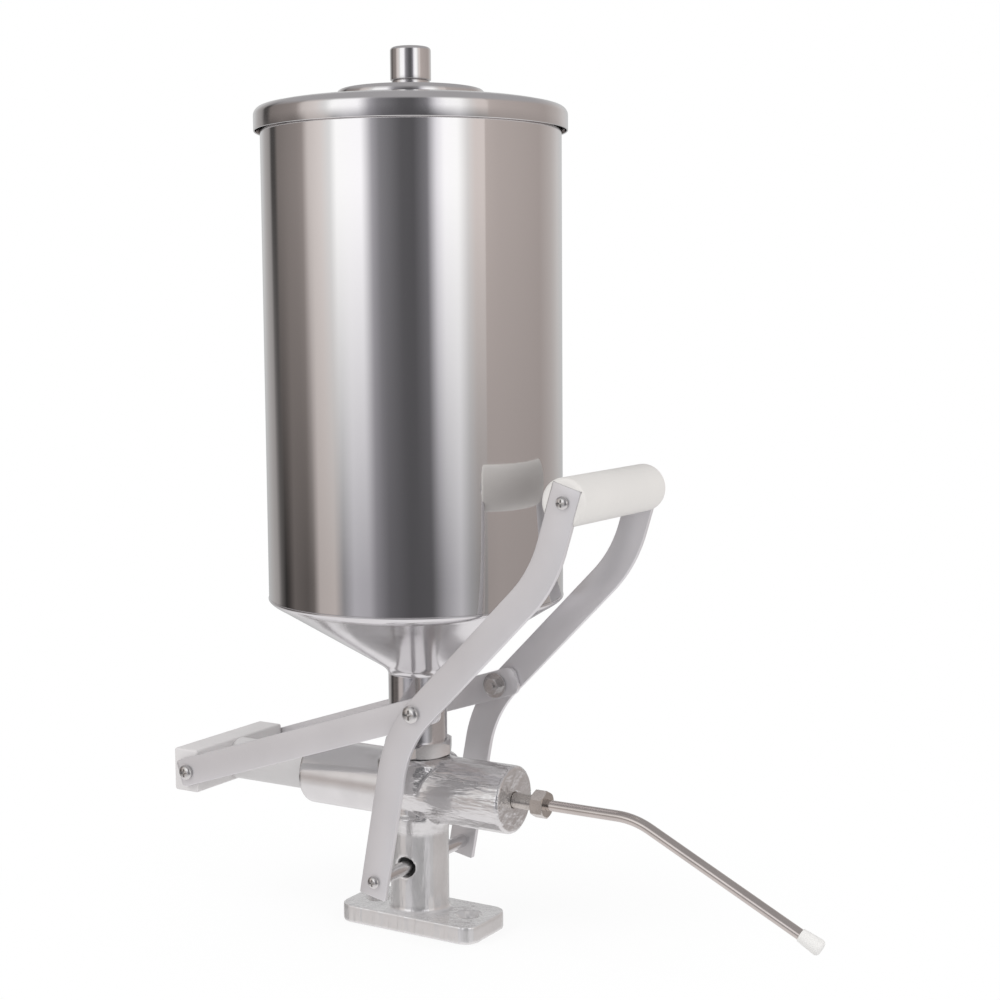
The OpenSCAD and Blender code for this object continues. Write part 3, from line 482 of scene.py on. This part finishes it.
where = t.nodes.new("ShaderNodeTexCoord").outputs["Object"]
drawn = t.nodes.new("ShaderNodeMapping")
drawn.inputs["Scale"].default_value = (34, 150, 150)
t.links.new(where, drawn.inputs["Vector"])
lumps = t.nodes.new("ShaderNodeTexNoise")
lumps.inputs["Scale"].default_value = 1.0
lumps.inputs["Detail"].default_value = 3.0
t.links.new(drawn.outputs[0], lumps.inputs["Vector"])
along = t.nodes.new("ShaderNodeSeparateXYZ")
t.links.new(where, along.inputs[0])
front = t.nodes.new("ShaderNodeMapRange")
front.inputs["From Min"].default_value = -.010
front.inputs["From Max"].default_value = .012
front.inputs["To Min"].default_value = .05
front.inputs["To Max"].default_value = 1.0
t.links.new(along.outputs["X"], front.inputs["Value"])
raised = t.nodes.new("ShaderNodeMapRange")
raised.inputs["From Min"].default_value = .055
raised.inputs["From Max"].default_value = .070
t.links.new(along.outputs["Z"], raised.inputs["Value"])
upright = t.nodes.new("ShaderNodeMapping")
upright.inputs["Scale"].default_value = (170, 170, 30)
t.links.new(where, upright.inputs["Vector"])
pillar_lumps = t.nodes.new("ShaderNodeTexNoise")
pillar_lumps.inputs["Scale"].default_value = 1.0
pillar_lumps.inputs["Detail"].default_value = 3.0
t.links.new(upright.outputs[0], pillar_lumps.inputs["Vector"])
height = t.nodes.new("ShaderNodeMix")
t.links.new(raised.outputs["Result"], height.inputs["Factor"])
t.links.new(pillar_lumps.outputs["Fac"], height.inputs[2])
t.links.new(lumps.outputs["Fac"], height.inputs[3])
# The foot and pillar were only blasted, so they scatter more light than the buffed barrel does.
blasted = t.nodes.new("ShaderNodeMix")
t.links.new(raised.outputs["Result"], blasted.inputs["Factor"])
blasted.inputs[2].default_value = .68
blasted.inputs[3].default_value = .92
t.links.new(blasted.outputs[0], t.nodes["Principled BSDF"].inputs["Metallic"])
rough_skin = t.nodes.new("ShaderNodeMix")
t.links.new(raised.outputs["Result"], rough_skin.inputs["Factor"])
rough_skin.inputs[2].default_value = .45
t.links.new(front.outputs["Result"], rough_skin.inputs[3])
lump_bump = t.nodes.new("ShaderNodeBump")
lump_bump.inputs["Distance"].default_value = 1.7 * MM
t.links.new(height.outputs[0], lump_bump.inputs["Height"])
t.links.new(rough_skin.outputs[0], lump_bump.inputs["Strength"])
fine_bump = [n for n in t.nodes if n.type == "BUMP" and n != lump_bump][0]
t.links.new(lump_bump.outputs[0], fine_bump.inputs["Normal"])
eased.materials.clear()
eased.materials.append(CAST)
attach(casting, "pump")
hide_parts("pump_body")

# ---------------------------------------------------------------- lever arms and links
# Flat steel bar with dulled edges, brushed along its length. The bar follows a path in the XZ
# plane: points along it, and at each the half width, so that a link's end can round off.


def flat_bar(path, half_widths, y0, y1, edge=.45):
    """Points, faces and UVs of a bar. Station i lies at path[i] with the bar's sides half_widths[i]
    to either side across the path, and its section is a rectangle with rounded corners of radius
    'edge'. u runs along the path and v round the section, both in metres."""
    path, w = np.array(path, float), np.array(half_widths, float)[:, None]
    tangent = np.gradient(path, axis=0)
    tangent /= np.linalg.norm(tangent, axis=1)[:, None]
    across_x, across_z = tangent[:, 1:], -tangent[:, :1]
    walked = np.concatenate([[0], np.cumsum(np.linalg.norm(np.diff(path, axis=0), axis=1))])
    e, half_t = np.minimum(edge, w * .9), (y1 - y0) / 2
    a = np.radians(np.add.outer([0, 90, 180, 270], np.linspace(0, 90, 4)).ravel())
    corner_x, corner_y = np.repeat([1, -1, -1, 1], 4), np.repeat([1, 1, -1, -1], 4)
    p = corner_x * (w - e) + e * np.cos(a)
    q = corner_y * (half_t - e) + e * np.sin(a)
    points = np.stack([path[:, :1] + across_x * p, (y0 + y1) / 2 + q, path[:, 1:] + across_z * p], -1)
    uvs = np.stack([np.broadcast_to(walked[:, None], p.shape), p], -1) * MM
    rings = np.arange(p.size).reshape(p.shape)
    faces = walls(rings).tolist() + [rings[0].tolist(), rings[-1, ::-1].tolist()]
    return points.reshape(-1, 3), faces, uvs.reshape(-1, 2)


def brushed(name, color, rough, tint=.05):
    """Flat bar brushed along its length: the noise is drawn out along the UV's u."""
    m = finish(name, color, .65, rough, (30, 2600, 1), .002, tint=tint, spots=30, edge_mm=0)
    t = m.node_tree
    stretch = [n for n in t.nodes if n.type == "MAPPING"][0]
    t.links.new(t.nodes.new("ShaderNodeUVMap").outputs[0], stretch.inputs["Vector"])
    return m


def set_uvs(thing, uvs):
    """Gives each corner its point's UV."""
    layer = thing.data.uv_layers.new(name="along")
    index = np.zeros(len(thing.data.loops), np.int32)
    thing.data.loops.foreach_get("vertex_index", index)
    layer.data.foreach_set("uv", np.array(uvs, np.float32)[index].ravel())


BAR = brushed("brushed_bar", (.73, .715, .73), (.30, .42))
ARM_W, ARM_T, ARM_IN, BEND_R = 17.3, 3.2, 45.0, 75.0
LOW, MID, TOP = (math.radians(a) for a in (10.7, 44.7, 17.0))
PIVOT = np.array((1.0, 38.0))


def way(lean, length):
    """The step of that length, leaning that far forward from the vertical, as (x, z)."""
    return length * np.array((math.sin(lean), math.cos(lean)))


arm_start = PIVOT - way(LOW, 8.7)
bend_low = PIVOT + way(LOW, 87.2)
bend_high = bend_low + way(MID, 133.6)
grip_at = bend_high + way(TOP, 43.6)
ARM_HEAD = 9.0
arm_end = grip_at + way(TOP, ARM_HEAD)
cut_low, cut_high = BEND_R * math.tan((MID - LOW) / 2), BEND_R * math.tan((MID - TOP) / 2)
m_low = bend_low - way(LOW, cut_low) + BEND_R * np.array((math.cos(LOW), -math.sin(LOW)))
m_high = bend_high + way(TOP, cut_high) - BEND_R * np.array((math.cos(TOP), -math.sin(TOP)))


def straight(a, b, steps):
    """Points from a to b, both ends in."""
    return [tuple(a + (b - a) * s) for s in np.linspace(0, 1, steps + 1)]


arm_path = (straight(arm_start, bend_low - way(LOW, cut_low), 12)
            + arc(*m_low, BEND_R, 180 - math.degrees(LOW), 180 - math.degrees(MID), 24)[1:]
            + straight(bend_low + way(MID, cut_low), bend_high - way(MID, cut_high), 14)[1:]
            + arc(*m_high, BEND_R, -math.degrees(MID), -math.degrees(TOP), 20)[1:]
            + straight(bend_high + way(TOP, cut_high), arm_end, 8)[1:])
arm_path = [tuple(arm_start), tuple(arm_start + way(LOW, .45))] + arm_path[1:-1] \
    + [tuple(arm_end - way(TOP, .45)), tuple(arm_end)]
arm_half = [ARM_W / 2 - .35] + [ARM_W / 2] * (len(arm_path) - 2) + [ARM_W / 2 - .35]
for side, label in ((-1, "near"), (1, "far")):
    y0, y1 = sorted((side * ARM_IN, side * (ARM_IN + ARM_T)))
    points, faces, uvs = flat_bar(arm_path, arm_half, y0, y1)
    arm = piece("bar_arm_" + label, points, faces, BAR, "lever", ["lever_arm_" + label])
    set_uvs(arm, uvs)

LINK_W, LINK_T, LINK_OUT, NOSE, CORNER, TAIL = 16.5, 3.2, 44.7, 15.0, 5.0, 5.8
HEAD_PIN, CRANK_PIN = np.array((-139.0, 83.0)), np.array((27.7, 137.9))
link_dir = (CRANK_PIN - HEAD_PIN) / np.linalg.norm(CRANK_PIN - HEAD_PIN)
link_len = np.linalg.norm(CRANK_PIN - HEAD_PIN)
half = LINK_W / 2
stations = [(-TAIL + 2 * (1 - math.cos(a)), half - 2 * (1 - math.sin(a)))
            for a in np.radians(np.linspace(0, 90, 8))]
stations += [(s, half) for s in np.linspace(2, link_len + NOSE - CORNER, 20)]
stations += [(link_len + NOSE - CORNER * (1 - math.sin(a)), half - CORNER * (1 - math.cos(a)))
             for a in np.radians(np.linspace(6, 90, 12))]
for side, label in ((-1, "near"), (1, "far")):
    y0, y1 = sorted((side * (LINK_OUT - LINK_T), side * LINK_OUT))
    points, faces, uvs = flat_bar([tuple(HEAD_PIN + link_dir * s) for s, w in stations],
                                  [w for s, w in stations], y0, y1)
    link = piece("bar_link_" + label, points, faces, BAR, "links", ["link_" + label])
    set_uvs(link, uvs)

# ---------------------------------------------------------------- grip
# A turned nylon bar as long as the lever is wide, its ends a little rounded. The top of each arm is
# let into an open slot in its end.
GRIP_R, GRIP_HALF, GRIP_ROUND, SLOT_GAP = 13.3, ARM_IN + ARM_T, 2.5, .08
profile = [(0, -GRIP_HALF)] + arc(GRIP_R - GRIP_ROUND, -GRIP_HALF + GRIP_ROUND, GRIP_ROUND, -90, 0, 12) \
    + [(GRIP_R, h) for h in np.linspace(-38, 38, 9)] \
    + arc(GRIP_R - GRIP_ROUND, GRIP_HALF - GRIP_ROUND, GRIP_ROUND, 0, 90, 12) + [(0, GRIP_HALF)]
points, faces = turned(profile, "Y", (grip_at[0], 0, grip_at[1]), 128)
GRIP = finish("grip_nylon", (.66, .64, .62), 0, (.42, .58), (260, 1400, 260), .004, tint=.03, edge_mm=.5)
grip = piece("turned_grip", points, faces, GRIP, "lever", ["grip"])
front_way, up_way = np.array((math.cos(TOP), -math.sin(TOP))), way(TOP, 1)
for side in (-1, 1):
    ends = [grip_at + front_way * u * (ARM_W / 2 + SLOT_GAP) + up_way * v
            for u, v in ((-1, -30), (1, -30), (1, ARM_HEAD + SLOT_GAP), (-1, ARM_HEAD + SLOT_GAP))]
    box = bpy.data.meshes.new("slot")
    corners = [(x * MM, y * MM, z * MM) for y in sorted((side * ARM_IN, side * 60)) for x, z in ends]
    box.from_pydata(corners, [],
                    [(0, 1, 2, 3), (7, 6, 5, 4), (1, 0, 4, 5), (2, 1, 5, 6), (3, 2, 6, 7), (0, 3, 7, 4)])
    cutter = bpy.data.objects.new("slot", box)
    scene.collection.objects.link(cutter)
    cut = grip.modifiers.new("slot", "BOOLEAN")
    cut.object, cut.solver = cutter, "EXACT"
    bpy.context.view_layer.update()
    slotted = bpy.data.meshes.new_from_object(grip.evaluated_get(bpy.context.evaluated_depsgraph_get()))
    grip.modifiers.clear()
    grip.data = slotted
    bpy.data.objects.remove(cutter)
slotted.set_sharp_from_angle(angle=math.radians(35))

# ---------------------------------------------------------------- crosshead and plunger
# A milled nylon block with broken edges, and the turned rod that it carries into the barrel.
HEAD_L, HEAD_H, HEAD_HALF_W, HEAD_ROUND = 18.0, 26.0, 41.2, 1.5
HEAD_X, BARREL_Z = -142.5, 83.0
outline = []
for cx, cz, a0 in ((1, 1, 0), (-1, 1, 90), (-1, -1, 180), (1, -1, 270)):
    outline += arc(cx * (HEAD_L / 2 - HEAD_ROUND), cz * (HEAD_H / 2 - HEAD_ROUND), HEAD_ROUND,
                   a0, a0 + 90, 8)
outline = np.array(outline)
# Each row is how far the outline draws in and where it lies along Y; the ends are broken in steps.
breaks = [(1.0, HEAD_HALF_W), (.45, HEAD_HALF_W - .12), (.12, HEAD_HALF_W - .45), (0, HEAD_HALF_W - 1),
          (0, 20)]
shrink, y = np.array([(d, -w) for d, w in breaks] + breaks[::-1]).T[:, :, None]
x = outline[:, 0] * (HEAD_L - 2 * shrink) / HEAD_L + HEAD_X
z = outline[:, 1] * (HEAD_H - 2 * shrink) / HEAD_H + BARREL_Z
points = np.stack(np.broadcast_arrays(x, y, z), -1).reshape(-1, 3)
rings = np.arange(len(points)).reshape(x.shape)
faces = walls(rings).tolist() + [rings[0].tolist(), rings[-1, ::-1].tolist()]
BLOCK = finish("milled_nylon", (.66, .64, .64), 0, (.40, .55), (500, 120, 500), .006, tint=.05,
               edge_mm=.5)
piece("crosshead_block", points, faces, BLOCK, "plunger_unit", ["crosshead"])
ROD_R, SHANK_R, ROD_BACK, SHANK_END, ROD_FRONT = 12.7, 10.7, -141.5, -133.5, -13.4
profile = [(0, ROD_BACK), (SHANK_R, ROD_BACK), (SHANK_R, SHANK_END), (ROD_R, SHANK_END), (ROD_R, -110),
           (ROD_R, -60), (ROD_R, ROD_FRONT - 1), (ROD_R - 1, ROD_FRONT), (0, ROD_FRONT)]
points, faces = turned(profile, "X", (0, 0, BARREL_Z), 96)
# The rod is the same nylon as the block, but its colour is set darker than the block's (.60 against
# .66): painted shade for the shadow the rod lies in.
SHADED_ROD = finish("turned_rod_painted_shade", (.60, .585, .585), 0, (.34, .46), (1600, 60, 60), .004, tint=.05, edge_mm=0)
piece("plunger_rod", points, faces, SHADED_ROD, "plunger_unit", ["plunger"])

# ---------------------------------------------------------------- nozzle
# Threaded nipple, bent tube and push-on cap. The tube is one rod swept round its bend.
NIPPLE_BORE, ROOT_R, CREST_R, NIPPLE_BACK, NIPPLE_END = 2.3, 4.1, 4.48, 58.6, 82.2
profile = [(NIPPLE_BORE, NIPPLE_BACK), (ROOT_R, NIPPLE_BACK)]
for k in range(22):
    x = 59.2 + k
    profile += [(ROOT_R, x), (CREST_R, x + .38), (CREST_R, x + .52), (ROOT_R, x + .9)]
profile += [(ROOT_R - .1, NIPPLE_END), (NIPPLE_BORE, NIPPLE_END)]
points, faces = turned(profile, "X", (0, 0, BARREL_Z), 64)
piece("nipple_thread", points, faces, NICKEL, "pump", ["outlet_nipple"], crease=60)

TUBE_R, TUBE_IN, BEND_X, BEND_A, TUBE_BEND, TUBE_L = 3.1, 2.3, 141.6, math.radians(26.5), 45.0, 117.6
tangent_l = TUBE_BEND * math.tan(BEND_A / 2)
down = np.array((math.cos(BEND_A), -math.sin(BEND_A)))
corner = np.array((BEND_X, BARREL_Z))
line = straight(np.array((82.5, BARREL_Z)), corner - np.array((tangent_l, 0)), 14)
line += arc(BEND_X - tangent_l, BARREL_Z - TUBE_BEND, TUBE_BEND, 90, 90 - math.degrees(BEND_A), 14)[1:]
line += straight(corner + down * tangent_l, corner + down * TUBE_L, 18)[1:]
line = np.array(line)
step = np.gradient(line, axis=0)
step /= np.linalg.norm(step, axis=1)[:, None]
TUBE_SIDES = 48
a = np.arange(TUBE_SIDES) * 2 * math.pi / TUBE_SIDES
r = np.array([TUBE_R, TUBE_IN])[:, None, None]
x = line[:, :1] - step[:, 1:] * r * np.cos(a)
z = line[:, 1:] + step[:, :1] * r * np.cos(a)
points = np.stack(np.broadcast_arrays(x, r * np.sin(a), z), -1).reshape(-1, 3)
outer, inner = np.arange(len(points)).reshape(2, len(line), TUBE_SIDES)
faces = walls(np.concatenate([outer, inner[::-1], outer[:1]])).tolist()
TUBE = finish("drawn_tube", (.65, .60, .57), 1, (.12, .20), (60, 900, 900), .0012, tint=.10,
              spots=60, edge_mm=0)
piece("bent_tube", points, faces, TUBE, "nozzle", ["nozzle_tube"])

profile = [(0, 9.5), (3.16, 9.5), (3.16, .2), (3.4, 0), (3.5, 0)] + arc(3.5, .3, .3, -90, 0, 4) \
    + [(4.2, 5), (4.6, 10.5)] + bow((4.6, 10.5), (4.6, 13), (2.4, 13), 10) + [(0, 13)]
points, faces = turned(profile, "X", (0, 0, 0), 64)
points = np.array(points)
tip_at = corner + down * (TUBE_L - 9.24)
points = np.stack([tip_at[0] + points[:, 0] * down[0] + points[:, 2] * -down[1], points[:, 1],
                   tip_at[1] + points[:, 0] * down[1] + points[:, 2] * down[0]], 1)
TIP = finish("moulded_cap", (.72, .71, .695), 0, (.35, .5), (400, 400, 400), .002, tint=.03, edge_mm=0)
piece("push_on_cap", points, faces, TIP, "tip", ["nozzle_tip"])
